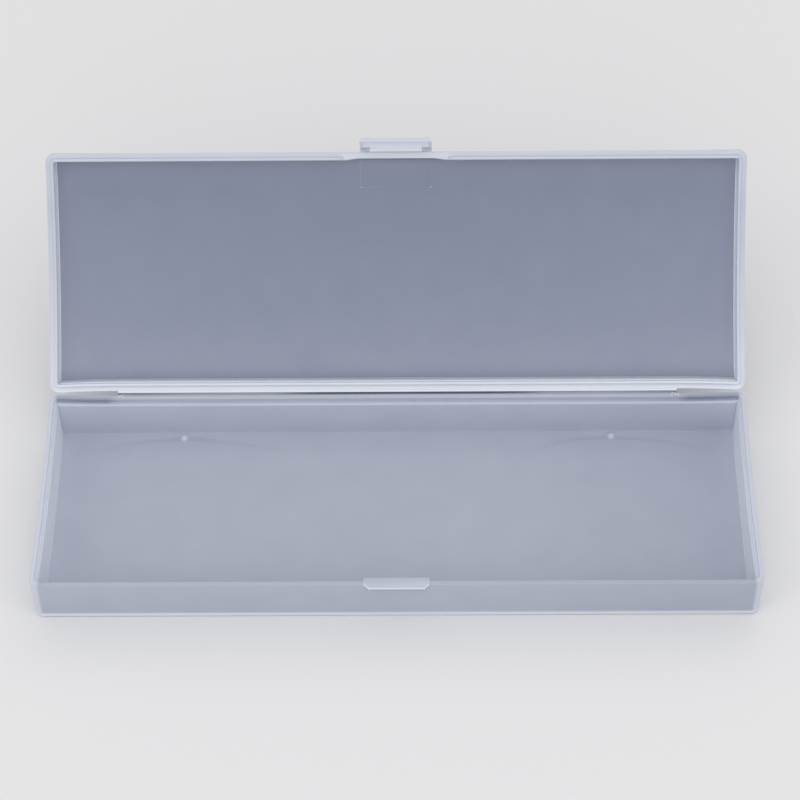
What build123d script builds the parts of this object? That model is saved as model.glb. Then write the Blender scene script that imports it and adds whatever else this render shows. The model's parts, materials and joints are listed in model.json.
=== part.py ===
from build123d import *
import math
import os

# Frosted pencil box: a shallow tray and a lid on a living hinge, with a snap clasp in front
# The real box is one moulding. Each solid here is one working part of it
# Millimetres. X runs along the box, Y from its front to its back, Z up
# The origin is the centre of the tray's underside
# The lid and its latch are drawn closed, then swung open about the hinge

# Whole box
box_length = 200.0
box_depth = 68.6
tray_height = 14.6
lid_height = 5.4
lid_open_angle = 132.7
seam = 0.1

# Outline of both halves, with the slight warp of thin mouldings
corner_radius = 2.8
least_corner_radius = 0.6
side_bow = 0.45
tray_corner_flare = 0.3
lid_corner_flare = 0.6
lid_back_setback = 0.37

# Walls
wall = 2.4
back_wall = 2.8
floor_thickness = 1.3
panel_thickness = 1.1
tray_draft = 0.4
lid_draft = 0.2
inner_draft = 0.3
bottom_round = 0.5
lid_round = 0.8

# Stepped rim: the lid's locating lip drops into a rebate round the tray
rim_width = 1.3
back_rim_width = 1.6
rebate_depth = 1.45
lip_side_clearance = 0.25
lip_end_clearance = 0.2

# Living hinge
hinge_gap = 0.76
hinge_end_gap = 19.7
leaf_height = 0.8
web_span = 0.32
web_drop = 0.1
web_thickness = 0.3

# Catch lip on the tray's front rim
catch_width = 17.8
catch_reach = 1.35
catch_bevel = 1.3
catch_thickness = 1.1
catch_lead_in = 0.3

# Latch on the lid's front wall
latch_web_length = 0.5
latch_web_thickness = 0.8
shelf_thickness = 1.2
shelf_height = 2.6
tab_thickness = 1.2
tab_length = 8.6
tab_clearance = 1.4
tab_round = 0.4
cheek_thickness = 1.0
cheek_clearance = 0.35
hook_grip = 0.55
hook_clearance = 0.25
hook_tip_height = 0.4
hook_height = 2.7
hook_end_inset = 0.45

# Thumb recess in the lid behind the latch, and the thinned rim beside it
recess_length = 7.85
recess_depth = 0.35
relief_depth = 0.5
relief_run = 4.7

# Small moulding nibs
floor_nib_radius = 1.5
floor_nib_height = 0.6
floor_nib_inset = 38.2
floor_nib_setback = 1.9
panel_nib_radius = 0.35
panel_nib_height = 0.2

# Sizes that follow from the ones above
front_y = -box_depth / 2
back_y = box_depth / 2
hinge_length = box_length - 2 * hinge_end_gap
hinge_y = back_y + hinge_gap / 2
hinge_z = tray_height + seam / 2
lid_rim_z = tray_height + seam
lid_top_z = lid_rim_z + lid_height
tab_reach = catch_reach + tab_clearance + tab_thickness
tab_width = catch_width + 2 * (cheek_clearance + cheek_thickness)
hook_length = catch_width - 2 * catch_bevel - 2 * hook_end_inset
relief_half = tab_width / 2 + relief_run
shelf_z = lid_rim_z + shelf_height
latch_axis_y = front_y - latch_web_length / 2
hinge_line = Axis((0, hinge_y, hinge_z), (1, 0, 0))

# How far a cutting solid runs past the face that it opens
overrun = 1.0


def outline(z, inset, back_inset, flare=0.0):
    """Plan outline at height z: straight front, bowed sides, back flared at its corners."""
    side = box_length / 2 - inset
    front = front_y + inset
    back = back_y - back_inset
    middle = (front + back) / 2
    corner = back + flare
    edges = [Line((-side, front), (side, front))]
    edges += [ThreePointArc((side, front), (side - side_bow, middle), (side, corner))]
    edges += [ThreePointArc((-side, corner), (-side + side_bow, middle), (-side, front))]
    if flare:
        straight = hinge_length / 2
        bend = (straight + side) / 2
        edges += [Line((straight, back), (-straight, back))]
        for way in (-1, 1):
            ends = [(way * side, corner), (way * bend, back + flare / 4), (way * straight, back)]
            edges += [ThreePointArc(*ends)]
    else:
        edges += [Line((side, back), (-side, back))]
    face = make_face(edges)
    corners = sorted(face.vertices(), key=lambda v: abs(v.X))[-4:]
    face = fillet(corners, max(corner_radius - inset, least_corner_radius))
    return Pos(0, 0, z) * face


def block(x_half, y_low, y_high, z_low, z_high):
    """Box centred on X = 0, between the given Y and Z."""
    size = (2 * x_half, y_high - y_low, z_high - z_low)
    centre = (0, (y_low + y_high) / 2, (z_low + z_high) / 2)
    return Pos(*centre) * Box(*size)


def prism(points, x_half, x_centre=0.0):
    """Bar along X whose section is the given list of (Y, Z) points."""
    section = make_face(Polyline(*[(x_centre - x_half, y, z) for y, z in points], close=True))
    return extrude(section, 2 * x_half, dir=(1, 0, 0))


def bar_of_edges(edges, x_half):
    """Bar along X whose section is closed by edges drawn at its low end."""
    return extrude(make_face(edges), 2 * x_half, dir=(1, 0, 0))


def opened(shape):
    """The lid's pieces swing back about the hinge line."""
    return shape.rotate(hinge_line, -lid_open_angle)


def opened_point(y, z):
    """Y and Z of a point of the closed lid, once the lid has swung back."""
    turn = math.radians(-lid_open_angle)
    along, up = y - hinge_y, z - hinge_z
    swung_y = hinge_y + along * math.cos(turn) - up * math.sin(turn)
    swung_z = hinge_z + along * math.sin(turn) + up * math.cos(turn)
    return round(swung_y, 4), round(swung_z, 4)


def make_catch_lip():
    """Bevelled ledge on the tray's front rim, with the pad behind it that fills the rebate."""
    half = catch_width / 2
    tip = front_y - catch_reach
    low = tray_height - catch_thickness
    plan = [(-half, front_y), (half, front_y), (half - catch_bevel, tip), (catch_bevel - half, tip)]
    ledge = Pos(0, 0, low) * extrude(make_face(Polyline(*plan, close=True)), catch_thickness)
    lead = ledge.edges().filter_by(Axis.X).group_by(Axis.Z)[-1].sort_by(Axis.Y)[0]
    ledge = chamfer(lead, catch_lead_in)
    pad = block(half, front_y, front_y + wall, tray_height - rebate_depth, tray_height)
    return ledge + pad


def make_tray_shell(catch_lip):
    """Open tray with a rebate round the inside of its rim."""
    body = loft(
        [
            outline(0, tray_draft, tray_draft, tray_corner_flare),
            outline(tray_height, 0, 0, tray_corner_flare),
        ],
        ruled=True,
    )
    body = fillet(body.edges().group_by(Axis.Z)[0], bottom_round)
    foot_inset = wall + inner_draft
    cavity = loft(
        [
            outline(floor_thickness, foot_inset, back_wall + inner_draft),
            outline(tray_height, wall, back_wall),
        ],
        ruled=True,
    )
    rebate_z = tray_height - rebate_depth
    rebate = extrude(outline(rebate_z, rim_width, back_rim_width), rebate_depth + overrun)
    return body - cavity - rebate - catch_lip


def make_floor_nibs():
    """Two gate nibs on the floor, near the foot of the back wall."""
    x = box_length / 2 - floor_nib_inset
    y = back_y - back_wall - inner_draft - floor_nib_setback
    z = floor_thickness + floor_nib_height / 2
    nibs = [Pos(way * x, y, z) * Cylinder(floor_nib_radius, floor_nib_height) for way in (-1, 1)]
    return Compound(children=nibs)


def make_lid_shell():
    """Shallow lid, with a thumb recess outside and a thinned rim inside, both at the latch."""
    body = loft(
        [
            outline(lid_rim_z, 0, lid_back_setback, lid_corner_flare),
            outline(lid_top_z, lid_draft, lid_back_setback + lid_draft, lid_corner_flare),
        ],
        ruled=True,
    )
    body = fillet(body.edges().group_by(Axis.Z)[-1], lid_round)
    panel_z = lid_top_z - panel_thickness
    cavity = loft(
        [
            outline(lid_rim_z, wall, back_wall),
            outline(panel_z, wall + lid_draft, back_wall + lid_draft),
        ],
        ruled=True,
    )
    inner_face = front_y + wall
    recess = block(
        tab_width / 2,
        inner_face,
        inner_face + recess_length,
        lid_top_z - recess_depth,
        lid_top_z + overrun,
    )
    flat = tab_width / 2
    deep = inner_face - relief_depth
    past = inner_face + overrun
    plan = [(-relief_half, inner_face), (-flat, deep), (flat, deep), (relief_half, inner_face)]
    plan += [(relief_half, past), (-relief_half, past)]
    relief = extrude(make_face(Polyline(*plan, close=True)), panel_z - lid_rim_z + overrun)
    relief = Pos(0, 0, lid_rim_z - overrun) * relief
    return body - cavity - recess - relief


def make_lid_lip():
    """Locating lip that drops into the tray's rebate, open in front for the catch lip."""
    depth = rebate_depth + seam - lip_end_clearance
    outside = outline(lid_rim_z, rim_width + lip_side_clearance, back_rim_width + lip_side_clearance)
    ring = extrude(outside, -depth) - extrude(outline(lid_rim_z, wall, back_wall), -depth)
    gap = block(relief_half, front_y, front_y + wall + overrun, lid_rim_z - depth, lid_rim_z)
    return ring - gap


def make_panel_nibs():
    """Two small nibs inside the lid, at the inner corners of the thumb recess."""
    x = tab_width / 2 - panel_nib_radius
    y = front_y + wall + recess_length
    z = lid_top_z - panel_thickness - panel_nib_height / 2
    nibs = [Pos(way * x, y, z) * Cylinder(panel_nib_radius, panel_nib_height) for way in (-1, 1)]
    return Compound(children=nibs)


def make_leaf(z_low, z_high, wall_it_sits_on):
    """Thin strip along a back wall, which carries the web of the living hinge."""
    near = hinge_y - web_span / 2
    strip = block(hinge_length / 2, back_y - back_wall / 2, near, z_low, z_high)
    return strip - wall_it_sits_on


def make_hinge_web():
    """Web of the living hinge: a thin band bent about the hinge line, from leaf to leaf."""
    half_span = web_span / 2
    x = -hinge_length / 2

    def point(radius, angle):
        turn = math.radians(angle)
        return (x, hinge_y + radius * math.cos(turn), hinge_z + radius * math.sin(turn))

    def ends(radius):
        reach = 180 - math.degrees(math.acos(half_span / radius))
        return -reach, reach - lid_open_angle

    rings = []
    for drop in (web_drop, web_drop + web_thickness):
        radius = math.hypot(half_span, drop)
        start, stop = ends(radius)
        rings.append([point(radius, angle) for angle in (start, (start + stop) / 2, stop)])
    inner, outer = rings
    edges = [
        ThreePointArc(*inner),
        Line(inner[-1], outer[-1]),
        ThreePointArc(*outer),
        Line(outer[0], inner[0]),
    ]
    return bar_of_edges(edges, hinge_length / 2)


def make_latch_web():
    """Short flexure between the lid's front wall and the latch, rounded about its own axis."""
    half_length = latch_web_length / 2
    radius = math.hypot(half_length, latch_web_thickness / 2)
    x = -tab_width / 2
    low, high = shelf_z - latch_web_thickness / 2, shelf_z + latch_web_thickness / 2
    near, far = latch_axis_y + half_length, latch_axis_y - half_length
    edges = [
        Line((x, near, low), (x, near, high)),
        ThreePointArc((x, near, high), (x, latch_axis_y, shelf_z + radius), (x, far, high)),
        Line((x, far, high), (x, far, low)),
        ThreePointArc((x, far, low), (x, latch_axis_y, shelf_z - radius), (x, near, low)),
    ]
    return bar_of_edges(edges, tab_width / 2)


def make_latch_shelf():
    """Shelf that holds the tab clear of the tray's catch lip."""
    half = shelf_thickness / 2
    tab_inner_y = front_y - tab_reach + tab_thickness
    root_y = front_y - latch_web_length
    return block(tab_width / 2, tab_inner_y, root_y, shelf_z - half, shelf_z + half)


def make_latch_tab():
    """Finger tab that hangs from the shelf in front of the tray."""
    outer_y = front_y - tab_reach
    top = shelf_z + shelf_thickness / 2
    tab = block(tab_width / 2, outer_y, outer_y + tab_thickness, top - tab_length, top)
    edges = tab.edges().group_by(Axis.Y)[0]
    return fillet(edges, tab_round)


def make_latch_hook():
    """Wedge inside the tab: a flat top that grips the catch lip, and a ramp that rides over it."""
    root = front_y - tab_reach + tab_thickness
    tip = front_y - catch_reach + hook_grip
    top = tray_height - catch_thickness - hook_clearance
    points = [(root, top), (tip, top), (tip, top - hook_tip_height), (root, top - hook_height)]
    return prism(points, hook_length / 2)


def make_latch_cheeks():
    """Three-cornered gussets that stiffen the ends of the shelf and the tab."""
    inner = front_y - tab_reach + tab_thickness
    root = front_y - latch_web_length
    top = shelf_z - shelf_thickness / 2
    low = tray_height - catch_thickness - hook_clearance - hook_height
    points = [(inner, top), (root, top), (inner, low)]
    x = tab_width / 2 - cheek_thickness / 2
    return Compound(children=[prism(points, cheek_thickness / 2, way * x) for way in (-1, 1)])


catch_lip = make_catch_lip()
tray_shell = make_tray_shell(catch_lip)
lid_shell = make_lid_shell()
tray_top = hinge_z - seam / 2
lid_bottom = hinge_z + seam / 2

tray_pieces = {
    "tray_shell": tray_shell,
    "catch_lip": catch_lip,
    "tray_hinge_leaf": make_leaf(tray_top - leaf_height, tray_top, tray_shell),
    "hinge_web": make_hinge_web(),
    "floor_nibs": make_floor_nibs(),
}
lid_pieces = {
    "lid_shell": lid_shell,
    "lid_locating_lip": make_lid_lip(),
    "lid_hinge_leaf": make_leaf(lid_bottom, lid_bottom + leaf_height, lid_shell),
    "lid_panel_nibs": make_panel_nibs(),
    "latch_web": make_latch_web(),
    "latch_shelf": make_latch_shelf(),
    "latch_tab": make_latch_tab(),
    "latch_hook": make_latch_hook(),
    "latch_cheeks": make_latch_cheeks(),
}

os.makedirs("parts", exist_ok=True)
for name, shape in tray_pieces.items():
    export_step(shape, f"parts/{name}.step")
for name, shape in lid_pieces.items():
    export_step(opened(shape), f"parts/{name}.step")

print("hinge line at y, z:", hinge_y, hinge_z)
print("latch axis at y, z:", *opened_point(latch_axis_y, shelf_z))
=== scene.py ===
# %% [markdown]
# # A frosted pencil box with a living hinge
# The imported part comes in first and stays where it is: everything here is built on its frame. Its
# joints give the hinge line and how far the lid stands open, so looks and motion agree.

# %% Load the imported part
import json
import math

import bmesh
import bpy
from mathutils import Matrix, Vector
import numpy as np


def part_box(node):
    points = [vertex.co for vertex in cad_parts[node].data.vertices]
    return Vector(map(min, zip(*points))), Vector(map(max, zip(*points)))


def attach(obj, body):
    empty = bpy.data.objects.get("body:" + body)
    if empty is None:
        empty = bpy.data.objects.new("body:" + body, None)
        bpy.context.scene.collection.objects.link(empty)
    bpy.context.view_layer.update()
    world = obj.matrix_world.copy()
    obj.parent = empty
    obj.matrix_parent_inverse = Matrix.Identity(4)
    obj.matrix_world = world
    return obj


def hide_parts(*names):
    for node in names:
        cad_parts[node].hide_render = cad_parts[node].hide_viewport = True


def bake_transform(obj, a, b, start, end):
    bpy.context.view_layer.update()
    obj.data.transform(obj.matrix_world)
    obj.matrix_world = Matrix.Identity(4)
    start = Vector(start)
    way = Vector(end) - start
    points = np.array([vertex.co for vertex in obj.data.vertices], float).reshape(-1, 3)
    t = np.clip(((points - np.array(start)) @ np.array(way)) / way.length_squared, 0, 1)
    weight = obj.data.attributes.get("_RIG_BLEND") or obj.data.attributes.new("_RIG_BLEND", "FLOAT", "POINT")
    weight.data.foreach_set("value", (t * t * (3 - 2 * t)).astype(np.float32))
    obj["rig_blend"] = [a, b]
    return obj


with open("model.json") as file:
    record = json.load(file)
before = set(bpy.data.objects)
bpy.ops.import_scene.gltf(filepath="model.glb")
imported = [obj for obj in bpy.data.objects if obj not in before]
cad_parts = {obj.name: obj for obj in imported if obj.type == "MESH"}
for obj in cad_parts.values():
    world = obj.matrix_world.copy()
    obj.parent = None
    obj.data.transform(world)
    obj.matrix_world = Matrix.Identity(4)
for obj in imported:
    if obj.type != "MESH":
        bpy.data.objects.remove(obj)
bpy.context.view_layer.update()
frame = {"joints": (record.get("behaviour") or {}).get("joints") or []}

mm = 0.001
joints = {joint["name"]: joint for joint in frame["joints"]}
hinge_y, hinge_z = [value / mm for value in joints["lid_hinge"]["pos_m"][1:]]
lid_open_angle = joints["lid_hinge"]["range_deg"][1]
print("hinge line at y, z:", round(hinge_y, 3), round(hinge_z, 3), "lid open by", lid_open_angle)

# %% [markdown]
# ## The camera
# A pinhole camera was fitted to the edges of the tray and the lid in the photograph. It looks down
# by 49 degrees through a long lens, with a small turn and roll. It could be aimed with a Track To
# constraint, but a matrix keeps the roll as fitted.

# %% Camera
camera_place = Vector((7.9, -481.6, 608.05)) * mm
camera_pitch = math.radians(49.13)
camera_yaw = math.radians(-0.79)
camera_roll = math.radians(-0.87)
sensor_width = 36.0
picture_width = 800
focal_pixels = 2736.5
lens_length = focal_pixels / picture_width * sensor_width


def camera_matrix():
    """Columns are the camera's right, up and backward directions, then its place."""
    level = math.cos(camera_pitch)
    forward = Vector(
        (math.sin(camera_yaw) * level, math.cos(camera_yaw) * level, -math.sin(camera_pitch))
    )
    right = Vector((math.cos(camera_yaw), -math.sin(camera_yaw), 0))
    up = right.cross(forward)
    tilted_right = right * math.cos(camera_roll) + up * math.sin(camera_roll)
    tilted_up = up * math.cos(camera_roll) - right * math.sin(camera_roll)
    turned = Matrix((tilted_right, tilted_up, -forward)).transposed().to_4x4()
    return Matrix.Translation(camera_place) @ turned


def new_object(name, data):
    """An object in the scene that holds this data."""
    made = bpy.data.objects.new(name, data)
    bpy.context.collection.objects.link(made)
    return made


camera = new_object("camera", bpy.data.cameras.new("camera"))
camera.data.sensor_width = sensor_width
camera.data.lens = lens_length
camera.data.clip_start = 0.05
camera.data.clip_end = 20
camera.matrix_world = camera_matrix()
bpy.context.scene.camera = camera
bpy.context.scene.view_settings.view_transform = "Standard"
print("lens in mm:", round(lens_length, 1))

# %% [markdown]
# ## Sizes
# All sizes are millimetres, as on the drawing of the part. The lid is drawn shut and swung open
# later. The plan outline has a straight front, sides that bow in a little and a back that flares
# at its corners, as thin mouldings do when they cool.

# %% Sizes shared by the tray and the lid
box_length = 200.0
box_depth = 68.6
tray_height = 14.6
floor_z = 1.3
lid_rim_z = 14.7
lid_top_z = 20.1
panel_z = 19.0
corner_radius = 2.8
least_corner_radius = 0.3
corner_steps = 8
side_steps = 16
side_bow = 0.45
rim_width = 2.4
outer_band = 1.3
rim_step = 1.45
back_wall = 2.8
inner_draft = 0.3
lid_setback = 0.37
hinge_length = 160.6
half_hinge = hinge_length / 2
tab_width = 20.5
half_tab = tab_width / 2
relief_half = 14.95
front_y = -box_depth / 2
back_y = box_depth / 2
swing_open = (
    Matrix.Translation((0, hinge_y, hinge_z))
    @ Matrix.Rotation(math.radians(-lid_open_angle), 4, "X")
    @ Matrix.Translation((0, -hinge_y, -hinge_z))
)
print("front and back at y:", front_y, back_y)

# %% [markdown]
# ## The plan outline as a path
# Both halves of the box are one wall section carried round the same rounded outline. The path is a
# mesh of edges. Its points also carry how much each of them belongs to the front, a side or the
# back, because the wall is thicker at the back and is painted with different light and shade on
# each side.


# %% Plan outline
def smooth_step(value):
    value = min(max(value, 0.0), 1.0)
    return value * value * (3 - 2 * value)


def front_stations():
    """Places along the front where the path has a point, from the middle outwards."""
    even = [4.0 * step for step in range(24)]
    marks = [relief_half + (half_tab - relief_half) * step / 6 for step in range(7)]
    return sorted({round(x, 3) for x in even + marks})


def back_stations(reach):
    """Places along the back, closer together past the hinge, where the corner flares."""
    even = [8.0 * step for step in range(10)]
    flare = [half_hinge + (reach - half_hinge) * step / 5 for step in range(5)]
    return sorted(even + flare)


def outline_path(inset=0.0, setback=0.0, flare=0.0, front_flare=0.0, front_gap=0.0):
    """Points of the outline with their shares, anticlockwise from the middle of the front."""
    radius = max(corner_radius - inset, least_corner_radius)
    side, front, back = box_length / 2 - inset, front_y + inset, back_y - inset - setback
    middle, half = (front + back) / 2, (back - front) / 2

    def side_x(y):
        return side - side_bow * (1 - ((y - middle) / half) ** 2)

    def past_hinge(x):
        return max(0.0, x - half_hinge) / (side - half_hinge)

    def front_at(x):
        return front - front_flare * past_hinge(x) ** 2

    def back_at(x):
        return back + flare * past_hinge(x) ** 2

    front_x = side_x(front + radius) - radius
    front_centre = Vector((front_x, front_at(front_x) + radius))
    back_x = side_x(back - radius) - radius
    back_centre = Vector((back_x, back_at(back_x) - radius))
    half_path = []
    for x in front_stations():
        if front_gap <= x < front_centre.x - 0.5:
            half_path.append((x, front_at(x), 1, 0, 0, 0))
    for centre, start in ((front_centre, -90), (back_centre, 0)):
        for step in range(corner_steps + 1):
            angle = math.radians(start + 90 * step / corner_steps)
            across, along = math.cos(angle), math.sin(angle)
            place = centre + radius * Vector((across, along))
            at_front = start == -90
            side_share = smooth_step(2.2 * across if at_front else 1.5 * across - 0.4)
            rest = 1 - side_share
            half_path.append((*place, rest * at_front, side_share, 0, rest * (not at_front)))
        if start == -90:
            low, high = front_centre.y, back_centre.y
            for step in range(1, side_steps):
                y = low + (high - low) * step / side_steps
                half_path.append((side_x(y), y, 0, 1, 0, 0))
    for x in reversed(back_stations(back_x)):
        ends_share = smooth_step((x - half_hinge + 1) / 4)
        half_path.append((x, back_at(x), 0, 0, 1 - ends_share, ends_share))
    other = [(-x, *rest) for x, *rest in reversed(half_path) if x > 0.01]
    return half_path + other


def relief_share(x, y):
    """One where the front rim is thinned for the clasp, fading to nothing beside it."""
    if y > 0:
        return 0.0
    return smooth_step((relief_half - abs(x)) / (relief_half - half_tab))


print("points on the outline:", len(outline_path()))

# %% [markdown]
# ## The wall section
# A section is a short list of corners: how far in from the outline, how high, and how round. Each
# corner also says how milky the plastic looks there on the front, the sides, the back and the ends
# of the back, past the hinge. Frosted plastic is bright where the light runs through a lot of it,
# as in a rim, and dim where it is thin. The milkiness also holds painted light and shade: it is
# raised where a face lies in shade, and it differs from side to side as the light falls.


# %% Wall section
def rounded(corners, steps=4):
    """Makes an arc of each corner that has a radius. Corners are (inset, height, radius, *rest)."""
    made = []
    for index, corner in enumerate(corners):
        here = Vector(corner[:2])
        radius, rest = corner[2], corner[3:]
        if not radius or index in (0, len(corners) - 1):
            made.append((*here, *rest))
            continue
        before = (Vector(corners[index - 1][:2]) - here).normalized()
        after = (Vector(corners[index + 1][:2]) - here).normalized()
        turn = before.angle(after)
        start = here + before * radius / math.tan(turn / 2)
        end = here + after * radius / math.tan(turn / 2)
        middle = here + (before + after).normalized() * radius / math.sin(turn / 2)
        for step in range(steps + 1):
            point = start.lerp(end, step / steps)
            spoke = (point - middle).normalized() * radius
            made.append((*(middle + spoke), *rest))
    return made


def columns(rows, keys):
    """What stands behind the first two numbers of each row, as one list for each key."""
    return dict(zip(keys, list(zip(*rows))[2:]))


def path_object(name, points, closed=False, **attributes):
    """A mesh of edges through the points, with a number on each point for each attribute."""
    count = len(points)
    edges = [(index, index + 1) for index in range(count - 1)]
    if closed:
        edges.append((count - 1, 0))
    mesh = bpy.data.meshes.new(name)
    mesh.from_pydata(points, edges, [])
    for key, values in attributes.items():
        mesh.attributes.new(key, "FLOAT", "POINT").data.foreach_set("value", values)
    return new_object(name, mesh)


def outline_object(name, closed=True, **settings):
    points = outline_path(**settings)
    shares = columns(points, ("front_share", "side_share", "back_share", "ends_share"))
    shares["relief_share"] = [relief_share(x, y) for x, y, *rest in points]
    return path_object(name, [(x, y, 0) for x, y, *rest in points], closed, **shares)


def section_object(name, corners, closed=False):
    """Corners are (inset, height, radius, milk at the four walls, back thickening, thinning)."""
    points = rounded([(*c[:3], *c[3], *(tuple(c[4:]) + (0, 0))[:2]) for c in corners])
    keys = ("milk_front", "milk_side", "milk_back", "milk_ends", "back_extra", "thinned")
    return path_object(name, [(-p[0], -p[1], 0) for p in points], closed, **columns(points, keys))


# %% [markdown]
# ## One tree for everything that is a section on a path
# Geometry Nodes carry the section along the path with Curve to Mesh. The same tree makes the walls
# of the tray and the lid, the locating rim and the band of the hinge, so a change of one size
# moves all of them. It thickens the back, thins the rim at the clasp and writes the milkiness on
# every point.


# %% Node helpers
def fill_inputs(tree, node, inputs):
    """Links or sets these inputs of a node."""
    for key, value in inputs.items():
        if isinstance(value, bpy.types.NodeSocket):
            tree.links.new(value, node.inputs[key])
        else:
            node.inputs[key].default_value = value


def add_node(tree, kind, inputs=None, **settings):
    """A node with its settings made and its inputs linked or set."""
    made = tree.nodes.new(kind)
    for key, value in settings.items():
        setattr(made, key, value)
    fill_inputs(tree, made, inputs or {})
    return made


def math_node(tree, operation, *values, clamp=False):
    made = add_node(tree, "ShaderNodeMath", dict(enumerate(values)), operation=operation)
    made.use_clamp = clamp
    return made.outputs[0]


def map_range(tree, value, limits, results=(0.0, 1.0), smooth=False):
    """Maps the range between two limits to the range between two results."""
    sockets = ("Value", "From Min", "From Max", "To Min", "To Max")
    inputs = dict(zip(sockets, (value, *limits, *results)))
    way = "SMOOTHSTEP" if smooth else "LINEAR"
    return add_node(tree, "ShaderNodeMapRange", inputs, interpolation_type=way).outputs[0]


def new_group(name, kind, inputs, outputs):
    """A node group with named sockets, and its input and output nodes."""
    tree = bpy.data.node_groups.new(name, kind + "NodeTree")
    for label, holds, value in inputs:
        socket = tree.interface.new_socket(
            name=label, in_out="INPUT", socket_type="NodeSocket" + holds
        )
        if value is not None:
            socket.default_value = value
    for label, holds in outputs:
        tree.interface.new_socket(name=label, in_out="OUTPUT", socket_type="NodeSocket" + holds)
    return tree, tree.nodes.new("NodeGroupInput").outputs, tree.nodes.new("NodeGroupOutput").inputs


def end_tree(tree, geometry, material, result):
    """Makes all copies real, gives them their material and passes them on."""
    whole = add_node(tree, "GeometryNodeRealizeInstances", {0: geometry}).outputs[0]
    dressed = add_node(tree, "GeometryNodeSetMaterial", {"Geometry": whole, "Material": material})
    tree.links.new(dressed.outputs[0], result[0])
    return tree


def named_number(tree, name):
    kind = "GeometryNodeInputNamedAttribute"
    return add_node(tree, kind, {"Name": name}, data_type="FLOAT").outputs["Attribute"]


# %% Tree that carries a section along a path
def section_on_path_tree():
    sockets = [
        ("Path", "Geometry", None),
        ("Section", "Object", None),
        ("Thinning", "Float", 0.0),
        ("Fill Ends", "Bool", False),
        ("Material", "Material", None),
    ]
    tree, given, result = new_group(
        "section_on_path", "Geometry", sockets, [("Geometry", "Geometry")]
    )
    path = add_node(tree, "GeometryNodeMeshToCurve", {0: given["Path"]})
    upright = add_node(tree, "GeometryNodeSetCurveNormal", {0: path.outputs[0]}, mode="Z_UP")
    drawn = add_node(tree, "GeometryNodeObjectInfo", {0: given["Section"]})
    section = add_node(tree, "GeometryNodeMeshToCurve", {0: drawn.outputs["Geometry"]})
    curves = {"Curve": upright.outputs[0], "Profile Curve": section.outputs[0]}
    skin = add_node(
        tree, "GeometryNodeCurveToMesh", {**curves, "Fill Caps": given["Fill Ends"]}
    ).outputs[0]
    milk = 0.0
    for wall in ("front", "side", "back", "ends"):
        share, milkiness = named_number(tree, f"{wall}_share"), named_number(tree, f"milk_{wall}")
        milk = math_node(tree, "MULTIPLY_ADD", share, milkiness, milk)
    at_back, at_ends, at_relief, back_extra, thinned = [
        named_number(tree, name)
        for name in ("back_share", "ends_share", "relief_share", "back_extra", "thinned")
    ]
    back = math_node(tree, "ADD", at_back, at_ends)
    thicker = math_node(tree, "MULTIPLY", back, back_extra)
    thinner = math_node(tree, "MULTIPLY", at_relief, thinned)
    inward = math_node(tree, "MULTIPLY_ADD", thinner, given["Thinning"], thicker)
    downward = math_node(tree, "MULTIPLY", inward, -1.0)
    shift = add_node(tree, "ShaderNodeCombineXYZ", {"Y": downward}).outputs[0]
    moved = add_node(tree, "GeometryNodeSetPosition", {"Geometry": skin, "Offset": shift})
    stored = add_node(
        tree,
        "GeometryNodeStoreNamedAttribute",
        {"Geometry": moved.outputs[0], "Name": "milk", "Value": milk},
        data_type="FLOAT",
        domain="POINT",
    )
    return end_tree(tree, stored.outputs[0], given["Material"], result)


section_on_path = section_on_path_tree()
print("nodes in the tree:", len(section_on_path.nodes))


# %% Run a tree and keep its result as a plain mesh
def evaluated_mesh(made, name):
    """A mesh of what the object looks like with its modifiers."""
    bpy.context.view_layer.update()
    depsgraph = bpy.context.evaluated_depsgraph_get()
    mesh = bpy.data.meshes.new_from_object(
        made.evaluated_get(depsgraph), preserve_all_data_layers=True, depsgraph=depsgraph
    )
    mesh.name = name
    return mesh


def plain_mesh(made, name):
    """The evaluated mesh with only the milkiness kept on its points."""
    mesh = evaluated_mesh(made, name)
    kept = ("milk", "position", "material_index", "sharp_face")
    spare = [a.name for a in mesh.attributes if a.name not in kept and not a.name.startswith(".")]
    for attribute_name in spare:
        mesh.attributes.remove(mesh.attributes[attribute_name])
    return mesh


def discard(*objects):
    for spare in objects:
        data = spare.data
        bpy.data.objects.remove(spare)
        if data is not None and not data.users:
            bpy.data.meshes.remove(data)


def run_tree(tree, base, name, values):
    """The mesh that a tree makes of a base object, with its inputs set by the sockets' names."""
    modifier = base.modifiers.new("tree", "NODES")
    modifier.node_group = tree
    for item in tree.interface.items_tree:
        if item.item_type == "SOCKET" and item.in_out == "INPUT" and item.name in values:
            modifier[item.identifier] = values[item.name]
    mesh = plain_mesh(base, name)
    base.modifiers.clear()
    return mesh


def carried(name, path, section, material, thinning=0.0, fill_ends=False):
    """The mesh of a section carried along a path."""
    values = {"Section": section, "Material": material}
    values.update({"Thinning": thinning, "Fill Ends": fill_ends})
    mesh = run_tree(section_on_path, path, name, values)
    discard(path, section)
    return mesh


# %% [markdown]
# ## Frosted polypropylene
# The real plastic is clear at heart but cloudy, with a fine spark-eroded matt skin. Volume
# scattering would be the physical way to make it, but it is slow and noisy, and few viewers can
# show it. Here every point knows how milky it is, and a shader group turns that into a colour and
# into how much shows through. That milkiness holds painted light and shade as well as the
# plastic's depth. Thin panels let a share of what is behind them through, and rims are solid and
# bright. Other groups give the matt grain, the marks of the flow and painted light where a floor
# meets its walls, against the shade in those corners.


# %% Noise of a given grain
def noise(tree, given, size, detail=2.0, roughness=0.5):
    """Noise on the group's coordinates. The size is the name of an input, or a scale."""
    named = isinstance(size, str)
    scale = math_node(tree, "DIVIDE", 1.0, given[size]) if named else size
    inputs = {"Vector": given["Coordinates"], "Scale": scale}
    settings = {"Detail": detail, "Roughness": roughness}
    return add_node(tree, "ShaderNodeTexNoise", {**inputs, **settings}).outputs["Fac"]


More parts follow.
